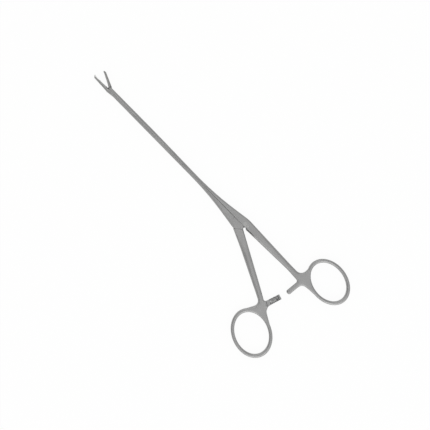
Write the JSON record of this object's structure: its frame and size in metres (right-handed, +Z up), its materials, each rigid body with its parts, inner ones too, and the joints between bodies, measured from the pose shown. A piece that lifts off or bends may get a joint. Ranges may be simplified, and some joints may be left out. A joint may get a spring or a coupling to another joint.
{
  "type": "meniscus grasper",
  "caption": "Ring-handled surgical grasper: turning the second handle slides one shaft bar along the other and shuts a short toothed jaw; ratchet arms between the rings.",
  "frame": {"origin": "on the surface that the instrument lies on, under the axis of the handle pivot pin", "axes": "+X along the shaft towards the jaws, +Y towards the moving handle, +Z up out of the table"},
  "size_m": [0.2238, 0.0868, 0.005],
  "materials": {
    "satin_steel": "satin, fine glass-bead and brushed",
    "jaw_steel": "satin, hardened",
    "pin_steel": "ground flush"
  },
  "bodies": {
    "frame": {"fixed_handle": "satin_steel", "handle_pivot_pin": "pin_steel", "jaw_drive_pin": "pin_steel", "rear_guide_stud": "pin_steel", "middle_guide_stud": "pin_steel", "front_guide_stud": "pin_steel"},
    "lever": {"moving_handle": "satin_steel"},
    "slider": {"sliding_shaft": "satin_steel", "handle_drive_pin": "pin_steel", "jaw_pivot_pin": "pin_steel"},
    "jaw": {"upper_jaw": "jaw_steel"}
  },
  "joints": [
    {"name": "handle_hinge", "type": "hinge", "parent": "frame", "child": "lever", "pos_m": [0, 0, 0.0025], "axis": [0, 0, 1], "range_deg": [0, 16]},
    {"name": "shaft_slide", "type": "slide", "parent": "frame", "child": "slider", "axis": [1, 0, 0], "range_m": [-0.00093, 0]},
    {"name": "jaw_hinge", "type": "hinge", "parent": "slider", "child": "jaw", "pos_m": [0.1275, 0.0029, 0.0025], "axis": [0, 0, 1], "range_deg": [0, 26.5]}
  ],
  "couplings": [
    {"joint": "shaft_slide", "follows": "handle_hinge", "m_per_rad": -0.0032914},
    {"joint": "jaw_hinge", "follows": "handle_hinge", "ratio": 1.656}
  ]
}
